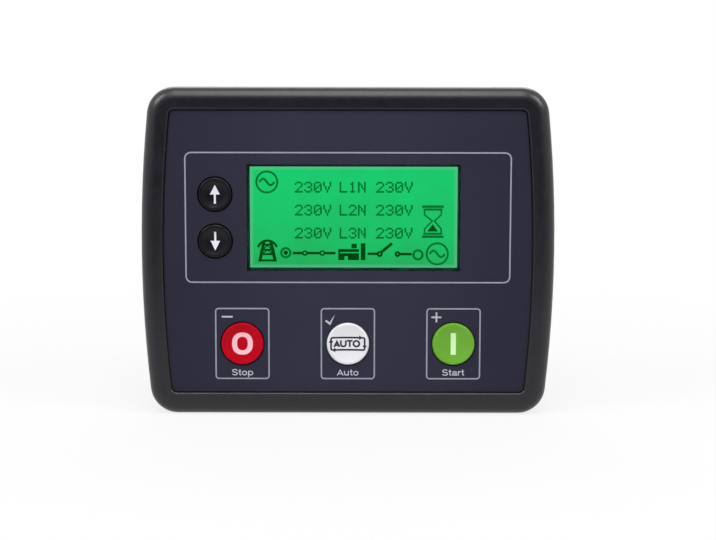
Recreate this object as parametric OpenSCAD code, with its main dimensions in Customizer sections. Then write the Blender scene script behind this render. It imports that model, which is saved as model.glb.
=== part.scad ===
// Panel-mounted generating-set controller: bowed bezel, recessed facia with a
// lit display, five push buttons, two boards and a rear case with plug headers.
// Everything is modelled lying on its back, front face up, and then stood upright.

/* [Bezel] */
// Width over the bowed sides
bezel_w = 140; // [138:1:156]
// Height over the straight top and bottom edges
bezel_h = 111; // [109:1:126]
// From the panel face to the front of the rim
bezel_depth = 10.4; // [9.8:0.1:12]
// Radius of the bowed left and right sides in front view
side_bow_r = 450; // [320:10:900]
// Corner radius in front view
corner_r = 9.5; // [8.8:0.1:13]
// Rounding of the outer edge of the rim
rim_roll_r = 4.2; // [2:0.1:5]
// Rim width from the outer edge to the facia recess
rim_w = 7.6; // [6.4:0.1:8]
// Edge break round the mouth of the facia recess
rim_break = 0.4; // [0.2:0.1:0.6]
// Depth of the facia recess below the front of the rim
recess_depth = 1.4; // [1:0.1:1.8]
// Moulded wall of the rim
bezel_wall = 2.4; // [2:0.1:3]
// Thickness of the plate behind the facia label
plate_t = 2; // [1.7:0.1:2.4]
// Thickness of the wall that locates the rear case
locating_wall = 1.8; // [1.4:0.1:2.4]
// Thickness of the ribs between locating wall and rim
rib_t = 1.5; // [1:0.1:2]
// Number of ribs along the top and along the bottom
ribs_long = 7; // [3:1:9]
// Number of ribs along each side
ribs_short = 5; // [3:1:7]

/* [Panel cut-out] */
// Width of the hole in the panel
cutout_w = 118; // [116:0.5:120]
// Height of the hole in the panel
cutout_h = 92; // [90:0.5:94]
// Clearance between rear case and cut-out on each side
cutout_gap = 0.75; // [0.5:0.05:1]

/* [Facia] */
// Thickness of the facia label
label_t = 0.5; // [0.3:0.05:0.8]
// Gap round the label in its recess
label_gap = 0.45; // [0.2:0.05:0.6]
// Extra radius of the label holes over the plate holes
label_ease = 0.15; // [0.1:0.05:0.3]
// Width of the lit display area
view_w = 70.2; // [60:0.2:72]
// Height of the lit display area
view_h = 34.2; // [28:0.2:36]
// Sideways place of the display from the middle
view_x = 1.9; // [0:0.1:4]
// Height of the display centre above the middle
view_y = 11.7; // [9:0.1:13]
// Dark border seen round the lit area
view_border = 0.85; // [0.5:0.05:1.2]
// Thickness of the clear display window
lens_t = 1.2; // [0.8:0.1:1.4]
// How far the window runs under the label on each side
lens_lap = 2.2; // [1.5:0.1:2.6]
// Clearance round the window in its rebate
lens_gap = 0.15; // [0.1:0.05:0.3]

/* [Buttons] */
// Diameter of the three large buttons
key_d = 14.3; // [12:0.1:16]
// Spacing of the three large buttons
key_pitch = 35.8; // [30:0.2:38]
// Height of the large buttons from the middle
key_y = -31.1; // [-33:0.1:-28]
// Diameter of the two scroll buttons
arrow_d = 11.2; // [9:0.1:12]
// From the left edge of the lit display to the centre of the scroll buttons
arrow_step = 11.5; // [10.2:0.1:13]
// Spacing of the two scroll buttons
arrow_pitch = 15.8; // [15.4:0.1:18]
// Radial clearance between a button and the bezel
cap_gap = 0.3; // [0.3:0.05:0.5]
// How far a button stands out of the label
cap_proud = 0.6; // [0.3:0.1:1]
// Depth of the finger dish
dish_depth = 0.8; // [0.4:0.1:1.2]
// Flat rim left round the finger dish
dish_rim = 0.9; // [0.6:0.1:1.5]
// Rounding of the button's outer edge
cap_edge_r = 0.5; // [0.2:0.1:0.6]
// How far a button moves when pressed
travel = 0.6; // [0.3:0.1:0.7]
// Width of the retaining flange behind the plate
flange_w = 1.5; // [1:0.1:1.6]
// Thickness of the retaining flange
flange_t = 1; // [0.8:0.1:1.1]
// Side of the square switch body
switch_w = 6; // [5:0.5:7]
// Diameter of the switch plunger
plunger_d = 3.4; // [2.5:0.1:4]

/* [Rear case] */
// From the panel face to the back of the case
case_depth = 32; // [30:0.5:40]
// Wall of the rear case
case_wall = 2.2; // [1.8:0.1:2.6]
// Upright corner radius of the rear case
case_r = 4; // [3:0.5:5]
// Rounding of the edges at the back
case_edge_r = 2.5; // [1:0.5:3]
// Clearance between rear case and locating wall
case_fit = 0.2; // [0.1:0.05:0.3]
// From the outside of the case to a screw axis
column_inset = 4.75; // [4.7:0.05:5.2]
// Outer diameter of the screw columns
column_d = 9; // [8.6:0.1:9.4]
// Diameter of the bezel spigot in the end of a column
spigot_d = 5.8; // [5.4:0.1:6.2]
// Length of the bezel spigot
spigot_l = 5; // [4:0.1:5.2]
// Clearance between spigot and column socket
spigot_gap = 0.2; // [0.1:0.05:0.3]
// Number of vent slots along the top and along the bottom
vents = 13; // [5:2:15]
// Width of a vent slot
vent_w = 2.2; // [1.5:0.1:3]
// Spacing of the vent slots
vent_pitch = 5.6; // [4.5:0.1:6]
// Length of a vent slot from front to back
vent_l = 15; // [8:0.5:17]
// Width of a clip slot
slot_w = 3.2; // [2.5:0.1:4]
// Length of a clip slot from front to back
slot_l = 8; // [6:0.5:9]
// Spacing of the two front clip slots
slot_pitch = 13; // [11:0.5:15]
// How far the two front clip slots lie ahead of the back one
slot_stagger = 4; // [2:0.5:5]
// Depth of the flat pad round the clip slots
pad_depth = 0.6; // [0.3:0.1:0.8]
// How far the pad reaches past the slots on each side
pad_margin = 3.2; // [2:0.1:4]

/* [Boards] */
// Thickness of both circuit boards
board_t = 1.6; // [1.2:0.1:1.8]
// Clearance between a board and the case wall
board_gap = 0.6; // [0.4:0.1:1]
// From the display plate down to the display board
board_drop = 5.8; // [5.6:0.1:6.2]
// Diameter of the posts that carry the boards
post_d = 5.5; // [4.8:0.1:6]
// Sideways place of the display board posts
front_post_x = 46; // [44.5:0.1:47]
// Height of the upper display board posts
front_post_top = 33.2; // [32.5:0.1:33.6]
// Height of the lower display board posts
front_post_low = -13; // [-14:0.1:-11]
// Sideways place of the main board posts
rear_post_x = 48; // [46:0.1:49]
// Height of the main board posts above and below the middle
rear_post_y = 14; // [12:0.1:18]
// Number of ways in the link between the boards
link_ways = 10; // [6:1:12]
// Sideways place of the board link
link_x = 38; // [34:0.5:41]

/* [Connectors] */
// Height of the connector rows above and below the middle
row_y = 30; // [29:0.1:30.5]
// How far the connectors stand out at the back
connector_proud = 0.6; // [0:0.1:1]
// Depth of a plug header from the board
header_depth = 12; // [11:0.1:13]
// Height of a plug header
header_h = 9.8; // [9.6:0.1:10.4]
// Wall of a plug header
header_wall = 1.1; // [0.9:0.1:1.2]
// Way spacing of the low-voltage headers
fine_pitch = 5.08; // [5:0.02:5.08]
// Way spacing of the voltage-sensing headers
wide_pitch = 7.62; // [7.5:0.02:7.62]
// Number of ways in the supply and output header
supply_ways = 12; // [8:1:12]
// Number of ways in the current-sensing header
current_ways = 4; // [2:1:4]
// Number of ways in each voltage-sensing header
sensing_ways = 4; // [3:1:4]
// Width of the data socket
data_w = 12; // [11.5:0.1:12.5]
// Height of the data socket
data_h = 10.9; // [10.6:0.1:11.5]

/* [Hidden] */
$fn = 64;
eps = 0.5;
far = 300;

// Levels, measured forwards from the panel face
crest_z = bezel_depth;
plate_top_z = crest_z - recess_depth;
plate_back_z = plate_top_z - plate_t;
label_top_z = plate_top_z + label_t;
lens_seat_z = plate_top_z - lens_t;
cap_top_z = label_top_z + cap_proud;
flange_back_z = plate_back_z - flange_t;
board_front_z = plate_back_z - board_drop;
board_back_z = board_front_z - board_t;
case_back_z = -case_depth;
case_floor_z = case_back_z + case_wall;
mouth_z = case_back_z - connector_proud;
main_back_z = mouth_z + header_depth;
main_front_z = main_back_z + board_t;
spigot_z = plate_back_z - spigot_l;

// Bezel outline: the corner circles touch the straight edges and the bowed sides.
// The angle where a side meets its corner is kept to four decimals.
bow_to_corner = side_bow_r - corner_r;
bow_x = bezel_w / 2 - side_bow_r;
bow_angle = round(asin((bezel_h / 2 - corner_r) / bow_to_corner) * 10000) / 10000;
corner = [bow_x + bow_to_corner * cos(bow_angle), bow_to_corner * sin(bow_angle)];
bow_fill = bezel_w / 2 - corner[0] + corner_r;
bow_fn = 720;

// Rear case
case_w = cutout_w - 2 * cutout_gap;
case_h = cutout_h - 2 * cutout_gap;
inner_w = case_w - 2 * case_wall;
inner_h = case_h - 2 * case_wall;
inner_r = case_r - case_wall / 2;
column_x = case_w / 2 - column_inset;
column_y = case_h / 2 - column_inset;
column_notch_d = column_d + 2 * board_gap;
board_w = inner_w - 2 * board_gap;
board_h = inner_h - 2 * board_gap;
pad_end = 2;

// Screws
case_screw_d = 2.9;
case_screw_hole_d = 3.4;
case_pilot_d = 3;
case_head_d = 5.6;
case_head_h = 2.2;
case_head_gap = 0.3;
case_head_sink = 2.6;
case_screw_end = 1.2;
board_screw_d = 2;
board_pilot_d = 2.1;
board_hole_d = 2.6;
board_head_d = 4.2;
board_head_h = 1.5;
board_screw_grip = 4;
drive_w = 0.8;
drive_reach = 0.6;
head_round = 0.7;

// Display stack
sheet_t = 0.5;
stack_gap = 0.3;
glass_gap = 0.15;
glass_t = 2;
frame_side = 2.5;
frame_end = 4;
lens_w = view_w + 2 * view_border + 2 * lens_lap;
lens_h = view_h + 2 * view_border + 2 * lens_lap;
frame_w = view_w + 2 * frame_side;
frame_h = view_h + 2 * frame_end;
frame_top_z = plate_back_z - stack_gap;
glass_top_z = frame_top_z - sheet_t;
glass_back_z = glass_top_z - glass_t;
glass_w = frame_w - 2 * sheet_t - 2 * glass_gap;
glass_h = frame_h - 2 * sheet_t - 2 * glass_gap;
strip_t = 2;
strip_gap = 0.4;
light_w = view_w - 4;
light_h = glass_h - 2 * strip_t - 2 * strip_gap;
led_w = 1.6;
led_l = 3;
led_pitch = 10;
tab_w = 3;
tab_pitch = 50;
tab_out = 1;
tab_gap = 0.2;

// Buttons
switch_h = 3.5;
switch_top_z = board_front_z + switch_h;
plunger_gap = 0.15;
plunger_sink = 1;
plunger_rise = 0.9;
plunger_room = 0.3;
plunger_top_z = switch_top_z + plunger_rise;
plunger_back_z = switch_top_z - plunger_sink;
plunger_bore_z = plunger_back_z - travel - plunger_room;
stem_d = 5;
cap_skin = 1.2;
flat_cut = 1;
stop_gap = 0.3;
stop_w = 7;
stop_t = 1.2;
stop_h = 1.7;
switch_lead_w = 0.7;
switch_lead_l = 1.2;
switch_lead_t = 0.3;

// Connectors
header_end = 1.2;
header_floor = 2;
header_wall_gap = 0.3;
pin_w = 1;
pin_gap = 0.05;
pin_up = 2;
pin_tail = 1.4;
pin_hole_d = 1.7;
pin_reach = 8;
key_slot_w = 1.6;
key_slot_d = 0.5;
supply_x = -11;
current_x = 35;
generator_x = -27;
mains_x = 11;
data_x = 41;
data_wall = 0.5;
data_gap = 0.05;
data_cavity_w = 8.6;
data_bevel = 1.4;
data_cavity_h = 7.9;
data_cavity_l = 9;
data_tongue_w = 5.6;
data_tongue_h = 3.2;
data_tongue_l = 8;

// Link between the boards and parts on the main board
link_pitch = 2.54;
link_base_h = 2.5;
link_base_w = 2.5;
link_pin_w = 0.64;
link_hole_w = 0.9;
link_socket_h = 8.5;
link_pin_l = 14.6;
chip_w = 14;
chip_t = 1.4;
chip_x = 8;
can_d = 8;
can_h = 11.5;
can_foot_h = 1.2;
can_x = -38;
can_y = 22;
can_pitch = 10;
coil_d = 10;
coil_h = 6;
coil_neck_d = 7;
coil_flange = 1.2;
coil_x = -24;
coil_y = 22;
driver_w = 6.5;
driver_l = 6;
driver_t = 2.3;
driver_tab = 1.4;
driver_pitch = 9;
driver_count = 6;
driver_x = -11;
driver_y = -18;

keys = [-key_pitch, 0, key_pitch];
arrow_x = view_x - view_w / 2 - arrow_step;
arrow_up_y = view_y + arrow_pitch / 2;
arrow_down_y = view_y - arrow_pitch / 2;
key_places = [for (x = keys) [x, key_y, key_d]];
arrow_places = [[arrow_x, arrow_up_y, arrow_d], [arrow_x, arrow_down_y, arrow_d]];
button_places = concat(arrow_places, key_places);
front_posts = [for (x = [-front_post_x, front_post_x], y = [front_post_low, front_post_top]) [x, y]];
rear_posts = [for (x = [-rear_post_x, rear_post_x], y = [-rear_post_y, rear_post_y]) [x, y]];
columns = [for (x = [-column_x, column_x], y = [-column_y, column_y]) [x, y]];

// Plug headers: sideways place, height, ways, spacing
supply_header = [supply_x, -row_y, supply_ways, fine_pitch];
current_header = [current_x, -row_y, current_ways, fine_pitch];
generator_header = [generator_x, row_y, sensing_ways, wide_pitch];
mains_header = [mains_x, row_y, sensing_ways, wide_pitch];
headers = [supply_header, current_header, generator_header, mains_header];

// Stands a piece upright: front up becomes front forwards
module upright() {
    rotate([90, 0, 0]) children();
}

// A flat shape raised between two levels
module slab(low, high) {
    translate([0, 0, low]) linear_extrude(high - low) children();
}

module rounded(w, h, r) {
    square([w - 2 * r, h], center = true);
    square([w, h - 2 * r], center = true);
    for (x = [-w / 2 + r, w / 2 - r], y = [-h / 2 + r, h / 2 - r])
        translate([x, y]) circle(r = r);
}

// Turns a section drawn inwards from the outline into one drawn outwards from a centre
module turned(reach, depth) {
    intersection() {
        translate([reach - depth, -far]) square([depth, 2 * far]);
        translate([reach, 0]) mirror([1, 0]) children();
    }
}

// Moves to a point in two steps, thousandths first, so that the point keeps all its digits
module at(p) {
    step = [round(p[0] * 1000) / 1000, round(p[1] * 1000) / 1000];
    translate([step[0], step[1], 0]) translate([p[0] - step[0], p[1] - step[1], 0]) children();
}

// Carries a section round the bezel outline: corners and straight edges as one quarter
// mirrored four ways, then the two bowed sides. Neighbours share their end faces.
module swept() {
    for (mx = [0, 1], my = [0, 1])
        mirror([mx, 0, 0]) mirror([0, my, 0]) intersection() {
            at(corner) {
                rotate_extrude(angle = 90 - bow_angle, start = bow_angle)
                    turned(corner_r, corner_r) children();
                mirror([1, 0, 0]) rotate([90, 0, 90])
                    linear_extrude(bezel_w / 2) turned(corner_r, bezel_h / 2 + eps) children();
            }
            translate([0, 0, -far]) cube([far, far, 2 * far]);
        }
    for (mx = [0, 1])
        mirror([mx, 0, 0]) translate([bow_x, 0, 0])
            rotate_extrude(angle = 2 * bow_angle, start = -bow_angle, $fn = bow_fn)
                turned(side_bow_r, bow_fill) children();
}

module rim_section() {
    square([far, crest_z - rim_roll_r]);
    translate([rim_roll_r, 0]) square([far, crest_z]);
    translate([rim_roll_r, crest_z - rim_roll_r]) circle(r = rim_roll_r);
}

module recess_section() {
    polygon([
        [rim_w, plate_top_z], [far, plate_top_z], [far, crest_z + eps],
        [rim_w - rim_break, crest_z + eps], [rim_w - rim_break, crest_z], [rim_w, crest_z - rim_break]
    ]);
}

module hollow_section() {
    translate([bezel_wall, -eps]) square([far, plate_back_z + eps]);
}

module label_section() {
    translate([rim_w + label_gap, plate_top_z]) square([far, label_t]);
}

function bow_edge_x(y) = bow_x + sqrt(pow(side_bow_r, 2) - pow(y, 2));

module bezel_ribs() {
    wall_x = case_w / 2 + case_fit + locating_wall / 2;
    wall_y = case_h / 2 + case_fit + locating_wall / 2;
    pitch_x = 2 * column_x / (ribs_long - 1);
    pitch_y = 2 * column_y / (ribs_short - 1);
    for (side = [0, 1], i = [0 : ribs_long - 1])
        mirror([0, side, 0])
            translate([-column_x + i * pitch_x - rib_t / 2, wall_y, 0])
                cube([rib_t, bezel_h / 2 - bezel_wall / 2 - wall_y, plate_back_z + eps]);
    for (side = [0, 1], i = [0 : ribs_short - 1])
        mirror([side, 0, 0])
            translate([wall_x, -column_y + i * pitch_y - rib_t / 2, 0])
                cube([
                    bow_edge_x(column_y) - bezel_wall / 2 - wall_x,
                    rib_t, plate_back_z + eps
                ]);
}

module locating_ring() {
    fit_w = case_w + 2 * case_fit;
    fit_h = case_h + 2 * case_fit;
    difference() {
        rounded(fit_w + 2 * locating_wall, fit_h + 2 * locating_wall, case_r + case_fit + locating_wall);
        rounded(fit_w, fit_h, case_r + case_fit);
    }
}

// Stops below the button flanges that keep the round buttons from turning
module button_stops() {
    for (b = button_places) {
        flat_y = b[1] - b[2] / 2 - flange_w + flat_cut;
        translate([b[0] - stop_w / 2, flat_y - stop_gap - stop_t, plate_back_z - stop_h])
            cube([stop_w, stop_t, stop_h + eps]);
    }
}

module front_bezel() {
    color([0.09, 0.09, 0.1]) upright() difference() {
        union() {
            difference() {
                swept() rim_section();
                swept() recess_section();
                swept() hollow_section();
            }
            slab(0, plate_back_z + eps) locating_ring();
            bezel_ribs();
            button_stops();
            for (p = front_posts)
                translate([p[0], p[1], board_front_z]) cylinder(d = post_d, h = board_drop + eps);
            for (p = columns)
                translate([p[0], p[1], spigot_z]) cylinder(d = spigot_d, h = spigot_l + eps);
        }
        translate([view_x, view_y, 0]) {
            slab(lens_seat_z, plate_top_z + eps)
                square([lens_w + 2 * lens_gap, lens_h + 2 * lens_gap], center = true);
            slab(plate_back_z - eps, plate_top_z)
                square([view_w + 2 * view_border, view_h + 2 * view_border], center = true);
        }
        for (b = button_places)
            translate([b[0], b[1], plate_back_z - eps])
                cylinder(d = b[2] + 2 * cap_gap, h = plate_t + 2 * eps);
        for (p = front_posts)
            translate([p[0], p[1], board_front_z - eps])
                cylinder(d = board_pilot_d, h = board_screw_grip + 2 * eps);
        for (p = columns)
            translate([p[0], p[1], spigot_z - eps]) cylinder(d = case_pilot_d, h = spigot_l + 2 * eps);
    }
}

module facia_label() {
    color([0.16, 0.16, 0.24]) upright() difference() {
        swept() label_section();
        translate([view_x, view_y, 0]) slab(plate_top_z - eps, label_top_z + eps)
            rounded(view_w + 2 * view_border, view_h + 2 * view_border, view_border / 2);
        for (b = button_places)
            translate([b[0], b[1], plate_top_z - eps])
                cylinder(d = b[2] + 2 * cap_gap + 2 * label_ease, h = label_t + 2 * eps);
    }
}

module display_window() {
    color([0.8, 0.85, 0.85, 0.4]) upright() translate([view_x, view_y, 0])
        slab(lens_seat_z, plate_top_z) square([lens_w, lens_h], center = true);
}

module frame_tabs(gap) {
    for (x = [-tab_pitch / 2, tab_pitch / 2], y = [-1, 1])
        translate([x, y * (frame_h - sheet_t) / 2])
            square([tab_w + 2 * gap, sheet_t + 2 * gap], center = true);
}

module lcd_frame() {
    color([0.05, 0.05, 0.05]) upright() translate([view_x, view_y, 0]) {
        difference() {
            slab(board_front_z, frame_top_z) square([frame_w, frame_h], center = true);
            slab(board_front_z - eps, glass_top_z)
                square([frame_w - 2 * sheet_t, frame_h - 2 * sheet_t], center = true);
            slab(board_front_z, frame_top_z + eps) square([view_w, view_h], center = true);
        }
        slab(board_back_z - tab_out, board_front_z + eps) frame_tabs(0);
    }
}

module lcd_glass() {
    color([0.16, 0.7, 0.4]) upright() translate([view_x, view_y, 0])
        slab(glass_back_z, glass_top_z) square([glass_w, glass_h], center = true);
}

module backlight_panel() {
    color([0.95, 0.95, 0.9]) upright() translate([view_x + led_w, view_y, 0])
        slab(board_front_z, glass_back_z) square([light_w, light_h], center = true);
}

module backlight_leds() {
    led_x = view_x + led_w - light_w / 2 - led_w;
    color([0.95, 0.95, 0.7]) upright() for (i = [-1 : 1])
        translate([led_x, view_y + i * led_pitch - led_l / 2, board_front_z])
            cube([led_w, led_l, glass_back_z - board_front_z - glass_gap]);
}

module contact_strips() {
    strip_y = (glass_h - strip_t) / 2;
    color([0.75, 0.35, 0.45]) upright() translate([view_x, view_y, 0])
        for (y = [-strip_y, strip_y])
            translate([0, y]) slab(board_front_z, glass_back_z) square([view_w, strip_t], center = true);
}

module board_outline(posts) {
    difference() {
        square([board_w, board_h], center = true);
        for (p = columns)
            translate(p) circle(d = column_notch_d);
        for (p = posts)
            translate(p) circle(d = board_hole_d);
    }
}

module display_board() {
    color([0.05, 0.3, 0.15]) upright() slab(board_back_z, board_front_z) difference() {
        board_outline(front_posts);
        translate([view_x, view_y]) frame_tabs(tab_gap);
    }
}

module pan_head_section(head_d, head_h) {
    round_r = head_h * head_round;
    translate([0, round_r - head_h]) square([head_d / 2, head_h - round_r]);
    translate([0, -head_h]) square([head_d / 2 - round_r, head_h]);
    intersection() {
        translate([head_d / 2 - round_r, round_r - head_h]) circle(r = round_r);
        translate([0, -head_h]) square([head_d / 2, round_r]);
    }
}

// Pan-head screw with a cross slot, point forwards, seat of the head at level zero
module screw(d, length, head_d, head_h) {
    cylinder(d = d, h = length);
    difference() {
        rotate_extrude() pan_head_section(head_d, head_h);
        for (turn = [0, 90])
            rotate([0, 0, turn]) translate([0, 0, -head_h])
                cube([head_d * drive_reach, drive_w, head_h], center = true);
    }
}

module display_board_screws() {
    color([0.7, 0.7, 0.72]) upright() for (p = front_posts)
        translate([p[0], p[1], board_back_z])
            screw(board_screw_d, board_t + board_screw_grip, board_head_d, board_head_h);
}

module cap_section(d) {
    dish_r = d / 2 - dish_rim;
    ball_r = (pow(dish_r, 2) + pow(dish_depth, 2)) / (2 * dish_depth);
    pocket_z = cap_top_z - dish_depth - cap_skin;
    difference() {
        union() {
            translate([0, flange_back_z]) square([d / 2 + flange_w, flange_t]);
            translate([0, flange_back_z]) square([d / 2, cap_top_z - cap_edge_r - flange_back_z]);
            translate([0, flange_back_z]) square([d / 2 - cap_edge_r, cap_top_z - flange_back_z]);
            translate([d / 2 - cap_edge_r, cap_top_z - cap_edge_r]) circle(r = cap_edge_r);
            translate([0, plunger_top_z]) square([stem_d / 2, flange_back_z - plunger_top_z + eps]);
        }
        translate([0, cap_top_z - dish_depth + ball_r]) circle(r = ball_r, $fn = 180);
        translate([stem_d / 2, flange_back_z - eps])
            square([d / 2 - cap_skin - stem_d / 2, pocket_z - flange_back_z + eps]);
        translate([-far, -far]) square([far, 2 * far]);
    }
}

module button(place) {
    d = place[2];
    upright() translate([place[0], place[1], 0]) difference() {
        rotate_extrude() cap_section(d);
        translate([-far / 2, -far - d / 2 - flange_w + flat_cut, plunger_top_z - eps])
            cube([far, far, plate_back_z - plunger_top_z + eps]);
    }
}

module up_button() {
    color([0.08, 0.08, 0.09]) button(arrow_places[0]);
}

module down_button() {
    color([0.08, 0.08, 0.09]) button(arrow_places[1]);
}

module stop_button() {
    color([0.68, 0.03, 0.1]) button(key_places[0]);
}

module auto_button() {
    color([0.88, 0.88, 0.89]) button(key_places[1]);
}

module start_button() {
    color([0.38, 0.64, 0.2]) button(key_places[2]);
}

module plunger(place) {
    upright() translate([place[0], place[1], plunger_back_z])
        cylinder(d = plunger_d, h = plunger_top_z - plunger_back_z);
}

module up_plunger() {
    color([0.15, 0.15, 0.15]) plunger(arrow_places[0]);
}

module down_plunger() {
    color([0.15, 0.15, 0.15]) plunger(arrow_places[1]);
}

module stop_plunger() {
    color([0.15, 0.15, 0.15]) plunger(key_places[0]);
}

module auto_plunger() {
    color([0.15, 0.15, 0.15]) plunger(key_places[1]);
}

module start_plunger() {
    color([0.15, 0.15, 0.15]) plunger(key_places[2]);
}

module switch_bodies() {
    color([0.2, 0.2, 0.21]) upright() for (b = button_places)
        translate([b[0], b[1], 0]) difference() {
            slab(board_front_z, switch_top_z) square([switch_w, switch_w], center = true);
            translate([0, 0, plunger_bore_z])
                cylinder(d = plunger_d + 2 * plunger_gap, h = switch_top_z - plunger_bore_z + eps);
        }
}

module switch_leads() {
    lead_y = switch_w / 2 - switch_lead_w;
    color([0.75, 0.75, 0.75]) upright() for (b = button_places, side = [0, 1], y = [-lead_y, lead_y])
        translate([b[0], b[1], board_front_z]) mirror([side, 0, 0])
            translate([switch_w / 2, y - switch_lead_w / 2, 0])
                cube([switch_lead_l, switch_lead_w, switch_lead_t]);
}

function link_place(i) = (i - (link_ways - 1) / 2) * link_pitch;

module link_plan(w) {
    for (i = [0 : link_ways - 1])
        translate([link_x, link_place(i)]) square([w, w], center = true);
}

module link_header() {
    color([0.1, 0.1, 0.1]) upright() slab(board_back_z - link_base_h, board_back_z) difference() {
        translate([link_x, 0]) square([link_base_w, link_ways * link_pitch], center = true);
        link_plan(link_pin_w + 2 * pin_gap);
    }
}

module link_pins() {
    color([0.85, 0.7, 0.3]) upright() slab(board_back_z - link_pin_l, board_back_z) link_plan(link_pin_w);
}

module link_socket() {
    color([0.1, 0.1, 0.1]) upright() slab(main_front_z, main_front_z + link_socket_h) difference() {
        translate([link_x, 0]) square([link_base_w, link_ways * link_pitch], center = true);
        link_plan(link_hole_w);
    }
}

function header_w(h) = h[2] * h[3] + 2 * header_end;
function way_x(h, i) = h[0] + (i - (h[2] - 1) / 2) * h[3];
function pin_y(h) = h[1] - header_h / 2 + header_wall + pin_up;

module main_board() {
    color([0.05, 0.3, 0.15]) upright() slab(main_back_z, main_front_z) difference() {
        board_outline(rear_posts);
        for (h = headers, i = [0 : h[2] - 1])
            translate([way_x(h, i), pin_y(h)]) circle(d = pin_hole_d);
    }
}

module main_board_screws() {
    color([0.7, 0.7, 0.72]) upright() for (p = rear_posts)
        translate([p[0], p[1], main_front_z]) mirror([0, 0, 1])
            screw(board_screw_d, board_t + board_screw_grip, board_head_d, board_head_h);
}

module header_pin_plan(h, w) {
    for (i = [0 : h[2] - 1])
        translate([way_x(h, i), pin_y(h)]) square([w, w], center = true);
}

module header_body(h) {
    w = header_w(h);
    upright() difference() {
        slab(mouth_z, main_back_z) translate([h[0], h[1]]) square([w, header_h], center = true);
        slab(mouth_z - eps, main_back_z - header_floor) {
            translate([h[0], h[1]])
                square([w - 2 * header_wall, header_h - 2 * header_wall], center = true);
            for (i = [0 : h[2] - 1])
                translate([way_x(h, i), h[1] + header_h / 2 - header_wall])
                    square([key_slot_w, 2 * key_slot_d], center = true);
        }
        slab(mouth_z, main_back_z + eps) header_pin_plan(h, pin_w + 2 * pin_gap);
    }
}

module header_pins(h) {
    upright() slab(main_back_z - header_floor - pin_reach, main_front_z + pin_tail)
        header_pin_plan(h, pin_w);
}

module supply_header_body() {
    color([0.12, 0.45, 0.2]) header_body(supply_header);
}

module supply_header_pins() {
    color([0.8, 0.78, 0.72]) header_pins(supply_header);
}

module current_header_body() {
    color([0.12, 0.45, 0.2]) header_body(current_header);
}

module current_header_pins() {
    color([0.8, 0.78, 0.72]) header_pins(current_header);
}

module generator_header_body() {
    color([0.12, 0.45, 0.2]) header_body(generator_header);
}

module generator_header_pins() {
    color([0.8, 0.78, 0.72]) header_pins(generator_header);
}

module mains_header_body() {
    color([0.12, 0.45, 0.2]) header_body(mains_header);
}

module mains_header_pins() {
    color([0.8, 0.78, 0.72]) header_pins(mains_header);
}

module data_socket_shell() {
    color([0.72, 0.73, 0.75]) upright() translate([data_x, row_y]) difference() {
        slab(mouth_z, main_back_z) square([data_w, data_h], center = true);
        slab(mouth_z - eps, main_back_z - data_wall)
            square([data_w - 2 * data_wall, data_h - 2 * data_wall], center = true);
    }
}

module data_cavity_plan() {
    half_w = data_cavity_w / 2;
    half_h = data_cavity_h / 2;
    polygon([
        [-half_w, -half_h], [half_w, -half_h], [half_w, half_h - data_bevel],
        [half_w - data_bevel, half_h], [-half_w + data_bevel, half_h], [-half_w, half_h - data_bevel]
    ]);
}

module data_socket_insert() {
    insert_w = data_w - 2 * data_wall - 2 * data_gap;
    insert_h = data_h - 2 * data_wall - 2 * data_gap;
    color([0.9, 0.9, 0.88]) upright() translate([data_x, row_y]) {
        difference() {
            slab(mouth_z, main_back_z - data_wall) square([insert_w, insert_h], center = true);
            slab(mouth_z - eps, mouth_z + data_cavity_l) data_cavity_plan();
        }
        slab(mouth_z + data_cavity_l - data_tongue_l, mouth_z + data_cavity_l + eps)
            square([data_tongue_w, data_tongue_h], center = true);
    }
}

module processor_chip() {
    color([0.08, 0.08, 0.08]) upright() slab(main_front_z, main_front_z + chip_t)
        translate([chip_x, 0]) square([chip_w, chip_w], center = true);
}

module supply_capacitors() {
    color([0.78, 0.79, 0.8]) upright() for (i = [0, 1])
        translate([can_x, can_y - i * can_pitch, main_front_z]) {
            translate([-can_d / 2, -can_d / 2, 0]) cube([can_d, can_d, can_foot_h]);
            cylinder(d = can_d - can_foot_h, h = can_h);
        }
}

module supply_coil() {
    color([0.2, 0.2, 0.2]) upright() translate([coil_x, coil_y, main_front_z]) {
        cylinder(d = coil_d, h = coil_flange);
        cylinder(d = coil_neck_d, h = coil_h);
        translate([0, 0, coil_h - coil_flange]) cylinder(d = coil_d, h = coil_flange);
    }
}

module output_drivers() {
    color([0.08, 0.08, 0.08]) upright() for (i = [0 : driver_count - 1])
        translate([driver_x + (i - (driver_count - 1) / 2) * driver_pitch, driver_y, main_front_z]) {
            translate([-driver_w / 2, -driver_l / 2, 0]) cube([driver_w, driver_l, driver_t]);
            translate([-driver_w / 2, driver_l / 2, 0]) cube([driver_w, driver_tab, driver_t / 2]);
        }
}

// Outside of the rear case: the edges at the back are rounded, the front is left square
module case_block(w, h, r, edge_r, back) {
    length = plate_back_z - back;
    intersection() {
        slab(back, plate_back_z) rounded(w, h, r);
        rotate([90, 0, 0]) translate([0, back + length, -far / 2])
            linear_extrude(far) rounded(w, 2 * length, edge_r);
        rotate([90, 0, 90]) translate([0, back + length, -far / 2])
            linear_extrude(far) rounded(h, 2 * length, edge_r);
    }
}

module case_windows() {
    for (h = headers)
        translate([h[0], h[1]])
            square([header_w(h) + 2 * header_wall_gap, header_h + 2 * header_wall_gap], center = true);
    translate([data_x, row_y])
        square([data_w + 2 * header_wall_gap, data_h + 2 * header_wall_gap], center = true);
}

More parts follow.
